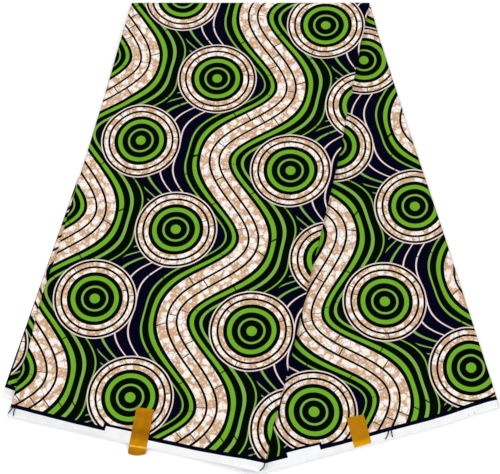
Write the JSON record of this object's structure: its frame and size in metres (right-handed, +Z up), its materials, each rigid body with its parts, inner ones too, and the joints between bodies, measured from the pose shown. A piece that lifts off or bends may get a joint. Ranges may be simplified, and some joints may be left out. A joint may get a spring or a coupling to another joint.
{
  "type": "folded wax-print cloth",
  "caption": "Length of wax-print cotton folded zigzag into a strip and doubled over at the top, lying flat in a fan, with plain foil labels at its selvedges.",
  "frame": {"origin": "middle of the fan's bounding box, on the surface it lies on", "axes": "+Z up out of the surface, +Y towards the straight top fold, +X to the right, where the back half fans out"},
  "size_m": [0.5713, 0.6245, 0.0085],
  "materials": {
    "printed_cotton": "printed cotton, green, near-black and beige, with a slight waxy sheen",
    "cotton_layers": "edges of many printed cotton layers",
    "gold_foil": "plain gold foil on paper, semi-gloss"
  },
  "bodies": {
    "root": {"front_panel": "printed_cotton", "side_panel": "printed_cotton", "under_leaf": "printed_cotton", "hidden_layers": "cotton_layers", "gold_label_left": "gold_foil", "gold_label_right": "gold_foil"}
  },
  "joints": []
}
